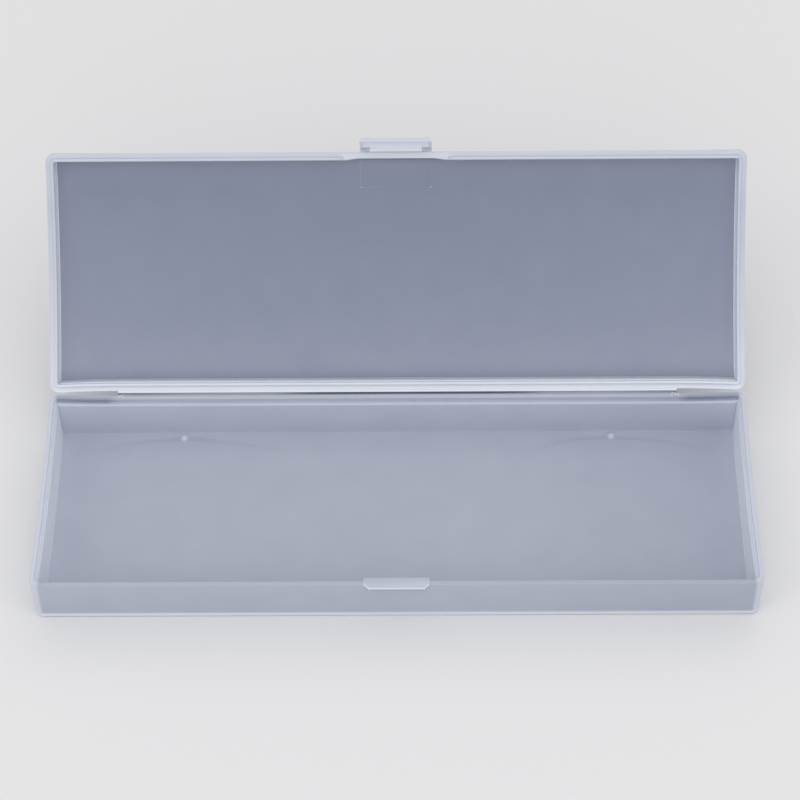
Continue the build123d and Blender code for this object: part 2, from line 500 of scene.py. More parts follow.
# %% Milky depth: colour and see-through from the milkiness
def milky_depth_group():
    sockets = [
        ("Milk", "Float", 0.3),
        ("Coordinates", "Vector", None),
        ("Cloud", "Float", 0.05),
        ("Cloud Size", "Float", 0.012),
        ("Thin Colour", "Color", (0.07, 0.104, 0.225, 1)),
        ("Thick Colour", "Color", (0.815, 0.843, 0.918, 1)),
        ("Thin Alpha", "Float", 0.68),
    ]
    tree, given, result = new_group(
        "milky_depth", "Shader", sockets, [("Colour", "Color"), ("Alpha", "Float")]
    )
    cloud = noise(tree, given, "Cloud Size", detail=3.0, roughness=0.55)
    centred = math_node(tree, "SUBTRACT", cloud, 0.5)
    milk = math_node(tree, "MULTIPLY_ADD", centred, given["Cloud"], given["Milk"])
    milk = math_node(tree, "MAXIMUM", milk, 0.0, clamp=True)
    colours = {0: milk, 6: given["Thin Colour"], 7: given["Thick Colour"]}
    colour = add_node(tree, "ShaderNodeMix", colours, data_type="RGBA")
    alpha = map_range(tree, milk, (0.2, 0.6), (given["Thin Alpha"], 1.0))
    tree.links.new(colour.outputs[2], result["Colour"])
    tree.links.new(alpha, result["Alpha"])
    return tree


milky_depth = milky_depth_group()


# %% Matt grain: the fine skin that the mould leaves
def matt_grain_group():
    sockets = [
        ("Coordinates", "Vector", None),
        ("Grain Size", "Float", 0.0004),
        ("Roughness", "Float", 0.45),
        ("Roughness Range", "Float", 0.12),
    ]
    tree, given, result = new_group(
        "matt_grain", "Shader", sockets, [("Height", "Float"), ("Roughness", "Float")]
    )
    grain = noise(tree, given, "Grain Size", roughness=0.6)
    centred = math_node(tree, "SUBTRACT", noise(tree, given, 90.0), 0.5)
    spread = given["Roughness Range"]
    rough = math_node(tree, "MULTIPLY_ADD", centred, spread, given["Roughness"])
    tree.links.new(grain, result["Height"])
    tree.links.new(rough, result["Roughness"])
    return tree


matt_grain = matt_grain_group()


# %% Flow marks: where the melt spread from a gate
def flow_marks_group():
    """A faint arch on the floor, with its top at the gate, and a lighter strip behind it."""
    sockets = [
        ("Coordinates", "Vector", None),
        ("Gate X", "Float", 0.0),
        ("Gate Y", "Float", 0.0),
        ("Fall", "Float", 7.0),
        ("Reach", "Float", 0.034),
        ("Width", "Float", 0.0012),
        ("Wander", "Float", 0.004),
    ]
    tree, given, result = new_group(
        "flow_marks", "Shader", sockets, [("Arch", "Float"), ("Strip", "Float")]
    )

    def share_near(distance, reach):
        """One at no distance, falling to nothing at the reach."""
        far = math_node(tree, "DIVIDE", math_node(tree, "ABSOLUTE", distance), reach)
        return math_node(tree, "SUBTRACT", 1.0, far, clamp=True)

    place = add_node(tree, "ShaderNodeSeparateXYZ", {0: given["Coordinates"]}).outputs
    from_middle = math_node(tree, "ABSOLUTE", place["X"])
    across = math_node(tree, "SUBTRACT", from_middle, given["Gate X"])
    squared = math_node(tree, "MULTIPLY", across, across)
    drop = math_node(tree, "MULTIPLY", squared, given["Fall"])
    line_y = math_node(tree, "SUBTRACT", given["Gate Y"], drop)
    centred = math_node(tree, "SUBTRACT", noise(tree, given, 70.0), 0.5)
    wobble = math_node(tree, "MULTIPLY", centred, given["Wander"])
    behind = math_node(tree, "SUBTRACT", place["Y"], math_node(tree, "ADD", line_y, wobble))
    fade = share_near(across, given["Reach"])
    arch = math_node(tree, "MULTIPLY", share_near(behind, given["Width"]), fade)
    past_line = map_range(tree, behind, (-0.001, 0.002), smooth=True)
    tree.links.new(arch, result["Arch"])
    tree.links.new(math_node(tree, "MULTIPLY", past_line, fade), result["Strip"])
    return tree


flow_marks = flow_marks_group()


# %% Floor edge light: a painted lighter fringe where a floor meets its walls, against the shade there
def floor_edge_painted_light_group():
    """Painted light: a lighter fringe along the foot of the walls, against the shade in those corners."""
    sockets = [
        ("Coordinates", "Vector", None),
        ("Base", "Vector", None),
        ("Up", "Vector", None),
        ("Ahead", "Vector", None),
        ("Half Length", "Float", 0.0973),
        ("Half Depth", "Float", 0.0312),
        ("Side Reach", "Float", 0.017),
        ("Wall Reach", "Float", 0.016),
        ("Top", "Float", 0.0125),
    ]
    tree, given, result = new_group(
        "floor_edge_painted_light", "Shader", sockets, [("Sides", "Float"), ("Wall", "Float")]
    )
    edge = 0.0005

    def vector_node(operation, first, second):
        return add_node(tree, "ShaderNodeVectorMath", {0: first, 1: second}, operation=operation)

    def ends_at(value, limit):
        """One up to the limit and nothing past it."""
        return map_range(tree, value, (limit, math_node(tree, "ADD", limit, edge)), (1.0, 0.0))

    def fringe(distance, wall, reach):
        """Grows over the reach before the wall and ends at the wall."""
        start = math_node(tree, "SUBTRACT", wall, reach)
        beyond = math_node(tree, "SUBTRACT", distance, start)
        rise = math_node(tree, "DIVIDE", beyond, reach, clamp=True)
        cubed = math_node(tree, "POWER", rise, 3.0)
        return math_node(tree, "MULTIPLY", cubed, ends_at(distance, wall))

    place = vector_node("SUBTRACT", given["Coordinates"], given["Base"]).outputs[0]
    height = vector_node("DOT_PRODUCT", place, given["Up"]).outputs["Value"]
    ahead = vector_node("DOT_PRODUCT", place, given["Ahead"]).outputs["Value"]
    along = add_node(tree, "ShaderNodeSeparateXYZ", {0: place}).outputs["X"]
    across = math_node(tree, "ABSOLUTE", along)
    behind = math_node(tree, "MULTIPLY", ahead, -1.0)
    below_top = ends_at(height, given["Top"])
    short_of_front = ends_at(behind, given["Half Depth"])
    inside = math_node(tree, "MULTIPLY", below_top, short_of_front)
    sides = fringe(across, given["Half Length"], given["Side Reach"])
    wall = fringe(ahead, given["Half Depth"], given["Wall Reach"])
    on_floor = ends_at(height, edge)
    tree.links.new(math_node(tree, "MULTIPLY", sides, inside), result["Sides"])
    tree.links.new(math_node(tree, "MULTIPLY", wall, on_floor), result["Wall"])
    return tree


floor_edge_painted_light = floor_edge_painted_light_group()
print("shader groups:", [milky_depth.name, matt_grain.name, flow_marks.name, floor_edge_painted_light.name])

# %% [markdown]
# ## Materials from the groups
# The tray, the lid and the clasp are the same plastic, so they share the groups and differ in a
# few numbers. The lid's panel gets painted light towards the hinge, and the tray's floor shows where
# the melt flowed from its gates. Both have painted light along their walls, and the floor some
# painted shade.


# %% Material builder
polypropylene_ior = 1.49
grain_strength = 0.25
grain_depth = 0.00008


class Frosted:
    """A frosted material: milk goes through a chain of small changes, then into the groups."""

    def __init__(self, name, **depth_values):
        self.material = bpy.data.materials.new(name)
        self.material.use_nodes = True
        self.tree = self.material.node_tree
        self.place = add_node(self.tree, "ShaderNodeTexCoord").outputs["Object"]
        written = add_node(self.tree, "ShaderNodeAttribute", attribute_name="milk")
        self.milk = written.outputs["Fac"]
        self.depth_values = depth_values

    def group(self, node_tree, **inputs):
        """A group at this material's place, with inputs named in small letters."""
        values = {key.replace("_", " ").title(): value for key, value in inputs.items()}
        values["Coordinates"] = self.place
        return add_node(self.tree, "ShaderNodeGroup", values, node_tree=node_tree).outputs

    def along(self, axis):
        """How far along an axis a point lies."""
        return add_node(self.tree, "ShaderNodeSeparateXYZ", {0: self.place}).outputs[axis]

    def lighten(self, where, change):
        """Adds so much milk where the given value is one."""
        self.milk = math_node(self.tree, "MULTIPLY_ADD", where, change, self.milk)

    def fade(self, value, start, end, change):
        """Adds a change to the milk that grows as a value goes from start to end."""
        self.lighten(map_range(self.tree, value, (start, end), smooth=True), change)

    def finish(self):
        depth = self.group(milky_depth, milk=self.milk, **self.depth_values)
        skin = self.group(matt_grain)
        grain = {"Height": skin["Height"], "Strength": grain_strength, "Distance": grain_depth}
        inputs = {
            "Base Color": depth["Colour"],
            "Alpha": depth["Alpha"],
            "Roughness": skin["Roughness"],
            "Normal": add_node(self.tree, "ShaderNodeBump", grain).outputs[0],
            "IOR": polypropylene_ior,
        }
        fill_inputs(self.tree, self.tree.nodes["Principled BSDF"], inputs)
        return self.material


# %% The five finishes
gate_inset = 38.2
gate_setback = 1.9
gate_x = box_length / 2 - gate_inset
gate_y = back_y - back_wall - inner_draft - gate_setback


def tray_material():
    """The floor shows how the melt flowed, has painted light along its walls and is painted a little darker
    towards its right.
    """
    made = Frosted("frosted_tray")
    marks = made.group(flow_marks, gate_x=gate_x * mm, gate_y=(gate_y - 0.7) * mm)
    made.lighten(marks["Arch"], -0.06)
    made.lighten(marks["Strip"], 0.01)
    # Painted light along the foot of the walls, against the shade in those corners.
    painted_glow = made.group(floor_edge_painted_light, base=(0, 0, floor_z * mm), up=(0, 0, 1), ahead=(0, 1, 0))
    made.lighten(painted_glow["Sides"], 0.11)
    made.lighten(painted_glow["Wall"], 0.04)
    # Painted shade: the floor is a little darker towards its right.
    made.fade(made.along("X"), start=0.02, end=0.09, change=-0.035)
    return made.finish()


def lid_material():
    """The panel gets painted light that grows down to the hinge, in three steps, and painted light along its
    walls.
    """
    made = Frosted("frosted_lid")
    height = made.along("Z")
    # Painted light: lighter down towards the hinge, lighter just below the front rim against the shade
    # there, and lighter again near the hinge.
    made.fade(height, start=0.066, end=0.018, change=0.16)
    made.fade(height, start=0.0535, end=0.0604, change=0.05)
    made.fade(height, start=0.03, end=0.016, change=0.035)
    turned = swing_open.to_3x3()
    # Painted light along the foot of the lid's walls, against the shade there.
    painted_glow = made.group(
        floor_edge_painted_light,
        base=swing_open @ Vector((0, 0, panel_z)) * mm,
        up=turned @ Vector((0, 0, -1)),
        ahead=turned @ Vector((0, -1, 0)),
        half_depth=0.0316,
        side_reach=0.012,
        wall_reach=0.006,
        top=0.0035,
    )
    made.lighten(painted_glow["Sides"], 0.1)
    made.lighten(painted_glow["Wall"], 0.08)
    return made.finish()


def hinge_material():
    """Painted shade: the hinge is clear and dark in its middle, where the crease lies in shade, cloudier
    beside that and clearer and darker at its ends.
    """
    # Painted shade: this dark colour stands for the shade in the crease between tray and lid.
    dark = (0.08, 0.088, 0.126, 1)
    made = Frosted("frosted_hinge", cloud=0.14, thin_alpha=0.9, thin_colour=dark)
    from_middle = math_node(made.tree, "SUBTRACT", made.along("X"), 0.004)
    distance = math_node(made.tree, "ABSOLUTE", from_middle)
    made.fade(distance, start=0.024, end=0.044, change=0.36)
    made.fade(distance, start=0.06, end=0.08, change=-0.12)
    return made.finish()


frosted_tray = tray_material()
frosted_lid = lid_material()
frosted_clasp = Frosted("frosted_clasp", cloud=0.04).finish()
frosted_hinge = hinge_material()
clear_neck = Frosted("clear_neck", thin_alpha=0.04, thin_colour=(0.9, 0.95, 1, 1)).finish()
print("last finish:", clear_neck.name)

# %% [markdown]
# ## Turning a mesh into a finished piece
# A mesh is drawn in millimetres. Pieces of the lid are swung open, all are scaled to metres, and
# the place stays in the mesh, so the object itself sits at the origin. Weighted normals keep flat
# faces flat beside their rounded edges. Then the piece is tied to the body that it moves with.
# Three small helpers serve the pieces whose mesh is changed or built one point at a time.


# %% Finish a piece
def finish_piece(name, mesh, material, body, stands_for=(), on_lid=False):
    if on_lid:
        mesh.transform(swing_open)
    mesh.transform(Matrix.Scale(mm, 4))
    mesh.materials.clear()
    mesh.materials.append(material)
    mesh.shade_smooth()
    piece = new_object(name, mesh)
    weighted = piece.modifiers.new("weighted", "WEIGHTED_NORMAL")
    weighted.keep_sharp = True
    piece.data = evaluated_mesh(piece, name + "_mesh")
    piece.modifiers.clear()
    bpy.data.meshes.remove(mesh)
    if body:
        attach(piece, body)
    if stands_for:
        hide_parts(*stands_for)
    print(name, "faces:", len(piece.data.polygons))
    return piece


# %% Helpers for editing a mesh
same_spot = 0.0001


def reworked(mesh, change=None):
    """Merges points on one spot, makes a change to the mesh and turns its faces outwards."""
    bm = bmesh.new()
    bm.from_mesh(mesh)
    bmesh.ops.remove_doubles(bm, verts=bm.verts, dist=same_spot)
    if change:
        change(bm)
    bmesh.ops.recalc_face_normals(bm, faces=bm.faces)
    bm.to_mesh(mesh)
    bm.free()
    return mesh


def mesh_from(bm, name):
    mesh = bpy.data.meshes.new(name)
    bm.to_mesh(mesh)
    bm.free()
    return mesh


def wall_between(bm, rings):
    """Faces between each ring of points and the next."""
    for low, high in zip(rings, rings[1:]):
        for index in range(len(low)):
            following = (index + 1) % len(low)
            bm.faces.new((low[index], low[following], high[following], high[index]))


# %% [markdown]
# ## The tray
# The tray is a floor and a wall with a stepped rim: an outer band stands up, and a ledge runs
# round inside it, one and a half millimetres lower, where the lid's rim drops in. The wall leans
# out a little for the mould, and the foot is rounded. The floor and the underside are flat faces
# that close the two open ends of the section.

# %% Tray
rebate_z = tray_height - rim_step
# The milk here is partly the plastic's depth and partly painted light and shade: the rounded foot and the
# inner side walls are raised against the shade they lie in, and the step is darker at the ends of the back.
tray_section = [
    (2.7, 0.0, 0, (0.5, 0.5, 0.5, 0.5)),
    (0.4, 0.0, 0.5, (0.84, 0.84, 0.7, 0.7)),
    (0.36, 1.3, 0, (0.78, 0.8, 0.66, 0.66)),
    (0.34, 2.1, 0, (0.5, 0.7, 0.48, 0.48)),
    (0.12, 10.5, 0, (0.51, 0.7, 0.48, 0.48)),
    (0.02, 13.8, 0, (0.52, 0.72, 0.5, 0.5)),
    (0.0, tray_height, 0.22, (0.51, 0.68, 0.44, 0.58)),
    (0.45, tray_height, 0, (0.51, 0.68, 0.57, 0.56)),
    (outer_band, tray_height, 0.12, (0.51, 0.7, 0.57, 0.42), 0.3),
    (outer_band, tray_height - 0.3, 0, (0.5, 0.88, 0.54, 0.33), 0.3),
    (outer_band, rebate_z + 0.35, 0, (0.5, 0.88, 0.54, 0.31), 0.3),
    (outer_band, rebate_z, 0.14, (0.5, 0.88, 0.54, 0.38), 0.3),
    (1.9, rebate_z, 0, (0.5, 0.7, 0.64, 0.64), 0.35),
    (rim_width, rebate_z, 0.2, (0.5, 0.7, 0.66, 0.66), 0.4),
    (2.42, 12.3, 0, (0.5, 0.9, 0.59, 0.59), 0.4),
    (2.66, 2.2, 0, (0.5, 1.0, 0.54, 0.54), 0.4),
    (2.69, floor_z, 0.05, (0.5, 0.8, 0.5, 0.5), 0.4),
    (2.75, floor_z, 0, (0.51, 0.51, 0.51, 0.51), 0.4),
]


def close_flat_ends(bm):
    """Fills each open loop with one flat face."""
    bmesh.ops.edgeloop_fill(bm, edges=[edge for edge in bm.edges if edge.is_boundary])


tray_path = outline_object("tray_path", flare=0.3)
tray_wall = section_object("tray_wall", tray_section)
tray_mesh = reworked(carried("tray_moulding", tray_path, tray_wall, frosted_tray), close_flat_ends)
finish_piece("tray_moulding", tray_mesh, frosted_tray, "tray_body", ["tray_shell"])

# %% [markdown]
# ## The lid
# The lid is the same idea upside down: a thin panel and a low wall. Its rim is thinned in front,
# where the clasp has to give. Outside, a shallow recess in the panel makes room for a thumb behind
# the clasp. On the panel's inside, a faint frame of painted light and shade, lighter on the left,
# stands for the recess showing through. The recess is a few rounded rectangles, one below the
# other, let into the top face.

# %% Lid
recess_length = 7.85
recess_depth = 0.35
recess_radius = 0.5
recess_low = front_y + rim_width
recess_high = front_y + rim_width + recess_length
# The milk here is partly the plastic's depth and partly painted light: the inner side walls are raised
# against the shade they lie in, and the back edge of the rim carries a painted highlight.
lid_section = [
    (2.75, panel_z, 0, (0.13, 0.13, 0.13, 0.13), 0.4, 1),
    (2.6, panel_z, 0.1, (0.2, 0.85, 0.36, 0.36), 0.4, 1),
    (2.45, 16.2, 0, (0.5, 1.0, 0.62, 0.62), 0.4, 1),
    (rim_width, lid_rim_z, 0.15, (0.67, 0.7, 0.7, 0.7), 0.4, 1),
    (1.2, lid_rim_z, 0, (0.7, 0.68, 0.71, 0.71), 0.2, 0.5),
    (0.0, lid_rim_z, 0.25, (0.62, 0.58, 0.78, 0.78)),
    (0.06, 16.3, 0, (0.6, 0.6, 0.66, 0.66)),
    (0.18, 19.2, 0, (0.5, 0.54, 0.5, 0.5)),
    (0.2, lid_top_z, 0.8, (0.5, 0.54, 0.5, 0.5)),
    (1.9, lid_top_z, 0, (0.15, 0.15, 0.15, 0.15)),
]


def recess_ring(inset, z, steps=4):
    """Rounded rectangle of the thumb recess, drawn in from its edge."""
    reach, low, high = half_tab - inset, recess_low + inset, recess_high - inset
    radius = max(recess_radius - inset, 0.1)
    points = []
    corners = ((reach, low, -90), (reach, high, 0), (-reach, high, 90), (-reach, low, 180))
    for x, y, start in corners:
        centre_y = low + radius if y == low else high - radius
        centre = Vector((x - math.copysign(radius, x), centre_y))
        for step in range(steps + 1):
            angle = math.radians(start + 90 * step / steps)
            across, along = radius * math.cos(angle), radius * math.sin(angle)
            points.append((centre.x + across, centre.y + along, z))
    return points


# Rows are (inset, depth, milk on the left, milk on the other sides).
recess_rows = [
    (0.0, 0.0, 0.2, 0.2),
    (0.02, 0.04, 0.6, 0.6),
    (0.2, recess_depth - 0.03, 0.6, 0.6),
    (0.25, recess_depth, 0.1, 0.1),
]
# Painted light and shade on the panel's inside: a faint frame where the recess shows through, lighter on the
# left.
shadow_rows = [(-0.15, 0.0, 0.13, 0.13), (0.1, 0.0, 0.19, 0.15), (0.35, 0.0, 0.12, 0.12)]


def add_recess(bm, top, recess):
    """Lets the rows of a recess into a flat face that is still open, and fills its bottom."""
    milk = bm.verts.layers.float["milk"]
    rows = []
    for inset, depth, left_milk, other_milk in recess:
        row = [bm.verts.new(point) for point in recess_ring(inset, top - depth)]
        for vertex in row:
            vertex[milk] = left_milk if vertex.co.x < 1 - half_tab else other_milk
        rows.append(row)
    wall_between(bm, rows)
    bm.faces.new(rows[-1])


def fill_open_face(bm, top):
    """Fills the flat face at this height, round whatever is let into it."""
    edges = [e for e in bm.edges if e.is_boundary and abs(e.verts[0].co.z - top) < 0.01]
    bmesh.ops.triangle_fill(bm, edges=edges, use_beauty=True, normal=(0, 0, 1))


def close_panel(bm):
    for top, recess in ((panel_z, shadow_rows), (lid_top_z, recess_rows)):
        add_recess(bm, top, recess)
        fill_open_face(bm, top)


lid_path = outline_object("lid_path", setback=lid_setback, flare=0.6, front_flare=0.25)
lid_wall = section_object("lid_wall", lid_section)
lid_mesh = carried("lid_moulding", lid_path, lid_wall, frosted_lid, thinning=0.5)
reworked(lid_mesh, close_panel)
finish_piece("lid_moulding", lid_mesh, frosted_lid, "lid_body", ["lid_shell"], on_lid=True)

# %% [markdown]
# ## The locating rim
# A low rib runs round the lid's rim and drops into the tray's step, which keeps the two halves in
# line. It follows the same outline, so the same tree makes it, with a closed section and an open
# path that leaves room for the catch in front.

# %% Locating rim
rib_inset = 1.975
rib_half = 0.425
rib_root_z = lid_rim_z + 0.05
rib_shoulder_z = 13.55
rib_edge_z = 13.35
# The rib's milk is partly painted light: its inner side is raised against the shade it lies in.
rib_section = [
    (rib_half, rib_root_z, 0, (0.66, 1.0, 0.68, 0.68)),
    (rib_half, rib_shoulder_z, 0, (0.64, 0.94, 0.66, 0.66)),
    (0.25, rib_edge_z, 0, (0.62, 0.58, 0.66, 0.66)),
    (-0.25, rib_edge_z, 0, (0.62, 0.55, 0.66, 0.66)),
    (-rib_half, rib_shoulder_z, 0, (0.64, 0.58, 0.68, 0.68)),
    (-rib_half, rib_root_z, 0, (0.74, 0.7, 0.78, 0.78)),
]


def slope_ends(bm):
    """Draws the rib's two ends up to the rim."""
    for vertex in bm.verts:
        if abs(vertex.co.x) < relief_half + 0.1 and vertex.co.y < 0:
            vertex.co.z = max(vertex.co.z, lid_rim_z - 0.15)


rib_outline = {"setback": lid_setback, "flare": 0.35, "front_gap": relief_half}
rib_path = outline_object("rib_path", closed=False, inset=rib_inset, **rib_outline)
rib_wall = section_object("rib_section", rib_section, closed=True)
rib_mesh = carried("locating_rim", rib_path, rib_wall, frosted_lid, fill_ends=True)
reworked(rib_mesh, slope_ends)
finish_piece("locating_rim", rib_mesh, frosted_lid, "lid_body", ["lid_locating_lip"], on_lid=True)

# %% [markdown]
# ## The living hinge
# Tray and lid are joined by a band a third of a millimetre thick, bent about the hinge line. It is
# the one piece that belongs to both bodies: it follows the tray at one end and the lid at the
# other, and turns in between.


# %% Hinge band
band_half = 0.16
band_inner = 0.1
band_outer = 0.4


def band_arc(radius, steps=8):
    """Points round the hinge line, from the tray's strip to the lid's."""
    reach = 180 - math.degrees(math.acos(band_half / radius))
    turns = [-reach + (2 * reach - lid_open_angle) * step / steps for step in range(steps + 1)]
    angles = [math.radians(turn) for turn in turns]
    return [(hinge_y + radius * math.cos(a), hinge_z + radius * math.sin(a)) for a in angles]


def hinge_band_mesh(steps=80):
    # Painted shade: the band is darker inside than outside, in the crease between tray and lid.
    inside = [(y, z, 0, (0.04, 0, 0, 0)) for y, z in band_arc(math.hypot(band_half, band_inner))]
    outside = [(y, z, 0, (0.34, 0, 0, 0)) for y, z in band_arc(math.hypot(band_half, band_outer))]
    section = section_object("band_section", inside + outside[::-1], closed=True)
    stations = [(-half_hinge + hinge_length * step / steps, 0, 0) for step in range(steps + 1)]
    path = path_object("band_path", stations, front_share=[1.0] * len(stations))
    return reworked(carried("hinge_band", path, section, frosted_hinge, fill_ends=True))


hinge_band = finish_piece("hinge_band", hinge_band_mesh(), frosted_hinge, None, ["hinge_web"])
band_low, band_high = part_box("hinge_web")
print("hinge web box in mm:", [[round(v / mm, 2) for v in c] for c in (band_low, band_high)])

# %% [markdown]
# ## Blocks with softened edges
# The clasp, the catch and the two strips at the hinge are short bars. Each is drawn as a section
# and pulled along the box. Its faces get a narrow frame before the edges are rounded, so that the
# milkiness can be higher along the edges than in the middle of a face: a painted highlight where
# cloudy plastic looks bright at its edges.


# %% Block with glowing edges
flat_angle = 0.02
sharp_angle = 0.3
widest_frame = 0.3


def block_mesh(name, rings, rounding, milk, painted_glow=0.5, milk_rule=None, merge_flat=False):
    """Rings are (x, y, z) corners, one ring after another. The milk is (on edges, on faces)."""
    bm = bmesh.new()
    layer = bm.verts.layers.float.new("milk")
    rows = [[bm.verts.new(point) for point in ring] for ring in rings]
    wall_between(bm, rows)
    bm.faces.new(rows[0])
    bm.faces.new(rows[-1])
    bmesh.ops.recalc_face_normals(bm, faces=bm.faces)
    if merge_flat:
        bmesh.ops.dissolve_limit(bm, angle_limit=flat_angle, verts=bm.verts, edges=bm.edges)
    outside = list(bm.edges)
    corners = set(bm.verts)
    for face in list(bm.faces):
        shortest = min(edge.calc_length() for edge in face.edges)
        thickness = min(painted_glow, widest_frame * shortest)
        bmesh.ops.inset_individual(bm, faces=[face], thickness=thickness)
    framed = set(bm.verts) - corners
    sharp = [e for e in outside if e.is_valid and e.calc_face_angle(0) > sharp_angle]
    settings = {"segments": 3, "profile": 0.5, "affect": "EDGES", "clamp_overlap": True}
    bmesh.ops.bevel(bm, geom=sharp, offset=rounding, **settings)
    for vertex in bm.verts:
        value = milk[1] if vertex in framed else milk[0]
        vertex[layer] = milk_rule(vertex.co, value) if milk_rule else value
    bmesh.ops.remove_doubles(bm, verts=bm.verts, dist=5 * same_spot)
    return mesh_from(bm, name)


def bar_rings(points, stations):
    """The same (y, z) section at each station along the box."""
    return [[(x, y, z) for y, z in points] for x in stations]


def rectangle(y_low, y_high, z_low, z_high):
    return [(y_low, z_low), (y_high, z_low), (y_high, z_high), (y_low, z_high)]


def mirrored_rings(ring, stations):
    """Rings at these (x, reach) on the left, then the same ones back on the right."""
    left = [ring(-x, reach) for x, reach in stations]
    return left + [ring(x, reach) for x, reach in reversed(stations)]


# %% Hinge strips
strip_height = 0.8
strip_ends = (-half_hinge, half_hinge)
strip_edge = hinge_y - band_half
tray_strip = rectangle(back_y - 0.05, strip_edge, tray_height - strip_height, tray_height)
lid_strip = rectangle(back_y - 0.42, strip_edge, lid_rim_z, lid_rim_z + strip_height)


def tray_strip_painted_shade(place, value):
    """Painted shade: clear and dark on top, beside the band, where the crease lies in shade, and cloudier on
    its back.
    """
    return value if place.z > tray_height - 0.1 else 0.42


def lid_strip_painted_highlight(place, value):
    """A painted highlight: bright along the lid's edge above the hinge, but clearer at the edge beside the
    band.
    """
    return 0.35 if place.y > strip_edge - 0.08 else value


tray_strip_mesh = block_mesh(
    "tray_strip",
    bar_rings(tray_strip, strip_ends),
    rounding=0.05,
    milk=(0.1, 0.1),
    milk_rule=tray_strip_painted_shade,
)
lid_strip_mesh = block_mesh(
    "lid_strip",
    bar_rings(lid_strip, strip_ends),
    rounding=0.06,
    milk=(1.0, 1.0),
    milk_rule=lid_strip_painted_highlight,
)
finish_piece(
    "tray_hinge_strip", tray_strip_mesh, frosted_hinge, "tray_body", ["tray_hinge_leaf"]
)
finish_piece(
    "lid_hinge_strip", lid_strip_mesh, frosted_clasp, "lid_body", ["lid_hinge_leaf"], on_lid=True
)

# %% [markdown]
# ## The catch in front of the tray
# The clasp snaps under a small bevelled ledge. Behind it a pad fills the step of the rim. Ledge
# and pad are one bar whose section grows from nothing at its two ends, which gives the bevels.

# %% Catch
catch_half = 8.9
catch_reach = 1.35
catch_bevel = 1.3
catch_top = 14.63
ledge_z = 13.5
pad_z = 13.13
pad_front = 1.32
pad_back = 2.43
catch_stations = [(catch_half, 0.05), (catch_half - catch_bevel, catch_reach)]


def catch_ring(x, reach):
    """Section of the ledge in front of the rim and the pad behind it."""
    below = [(-reach, ledge_z), (pad_front, ledge_z), (pad_front, pad_z), (pad_back, pad_z)]
    above = [(pad_back, catch_top), (-reach, catch_top)]
    return [(x, front_y + y, z) for y, z in below + above]


def catch_painted_light(place, value):
    """The top grows milkier towards the edge, a painted highlight. The face below the edge is dim with
    painted shade.
    """
    if place.y < front_y and place.z < 14.4:
        return 0.42
    bevelled = max(0, abs(place.x) - catch_half + catch_bevel)
    from_edge = place.y - front_y + catch_reach * (1 - bevelled / catch_bevel)
    return value if from_edge < 0.25 else 0.62 - 0.04 * from_edge


catch_mesh = block_mesh(
    "catch",
    mirrored_rings(catch_ring, catch_stations),
    rounding=0.14,
    milk=(0.9, 0.62),
    painted_glow=0.3,
    milk_rule=catch_painted_light,
    merge_flat=True,
)
finish_piece("catch_ledge", catch_mesh, frosted_clasp, "tray_body", ["catch_lip"])

# %% [markdown]
# ## The clasp
# A short neck on the lid's front wall carries a shelf, and from the shelf hangs a finger tab with
# a hook inside and a gusset at each end. In the photograph it is seen from its free end. The neck
# bends, so it is blended between the lid and the clasp.

# %% Clasp
tab_front, tab_back = front_y - 3.9, front_y - 2.75
shelf_front, shelf_back = front_y - 2.85, front_y - 0.8
tab_points = rectangle(tab_front, tab_back, 9.34, 17.86)
shelf_points = rectangle(shelf_front, shelf_back, 16.7, 17.9)
tab_taper = 0.22
hook_half = 7.15
hook_reach = 0.8
hook_low = 10.55
hook_top = 13.25
shoulder_half = 9.3
shoulder_reach = 1.25
hook_stations = [
    (shoulder_half, shoulder_reach),
    (hook_half + 0.25, shoulder_reach),
    (hook_half, hook_reach),
]


def tab_row(way):
    """One end of the tab, which is a little narrower on its outside."""
    return [(way * (half_tab - tab_taper * (front_y - y - 2.4)), y, z) for y, z in tab_points]


def hook_row(x, reach):
    """Section of the hook: a slope that leads in, a short nose and a flat face that grips."""
    nose = hook_low + 2.3 * (2.85 - reach) / 2.05
    points = [(-2.85, hook_low), (-reach, nose), (-reach, hook_top), (-2.85, hook_top)]
    return [(x, front_y + y, z) for y, z in points]


def hook_painted_highlight(place, value):
    """The nose is painted bright all along, a painted highlight."""
    return 1.0 if place.y > front_y - 1.15 else value


shelf_rings = bar_rings(shelf_points, (-half_tab, half_tab))
hook_rings = mirrored_rings(hook_row, hook_stations)
# The shelf and the hook are milkier than the tab: painted light in the shaded hollow between them.
clasp_bars = [
    ("clasp_tab", [tab_row(-1), tab_row(1)], 0.42, (0.72, 0.66), "latch_tab", None),
    ("clasp_shelf", shelf_rings, 0.15, (1.0, 0.95), "latch_shelf", None),
    ("clasp_hook", hook_rings, 0.1, (0.97, 0.92), "latch_hook", hook_painted_highlight),
]
for name, rings, rounding, milk, node, rule in clasp_bars:
    bar = block_mesh(name, rings, rounding, milk, milk_rule=rule)
    finish_piece(name, bar, frosted_clasp, "latch_body", [node], on_lid=True)

# %% Neck of the clasp
neck_under = [(0.05, 16.9), (-0.45, 16.96), (-0.9, 16.9)]
neck_over = [(-0.9, 17.7), (-0.45, 17.64), (0.05, 17.7)]
neck_points = [(front_y + y, z) for y, z in neck_under + neck_over]
neck_stations = (-half_tab, -7.6, -7.3, 7.3, 7.6, half_tab)


def neck_milk(place, value):
    """The neck is thinnest, and clear, above the hook, and a little cloudy beside it."""
    return 0.36 if abs(place.x) > hook_half + 0.3 else value


neck_rings = bar_rings(neck_points, neck_stations)
neck_mesh = block_mesh(
    "neck", neck_rings, rounding=0.06, milk=(0.1, 0.1), painted_glow=0.1, milk_rule=neck_milk
)
neck = finish_piece("clasp_neck", neck_mesh, clear_neck, None, ["latch_web"], on_lid=True)

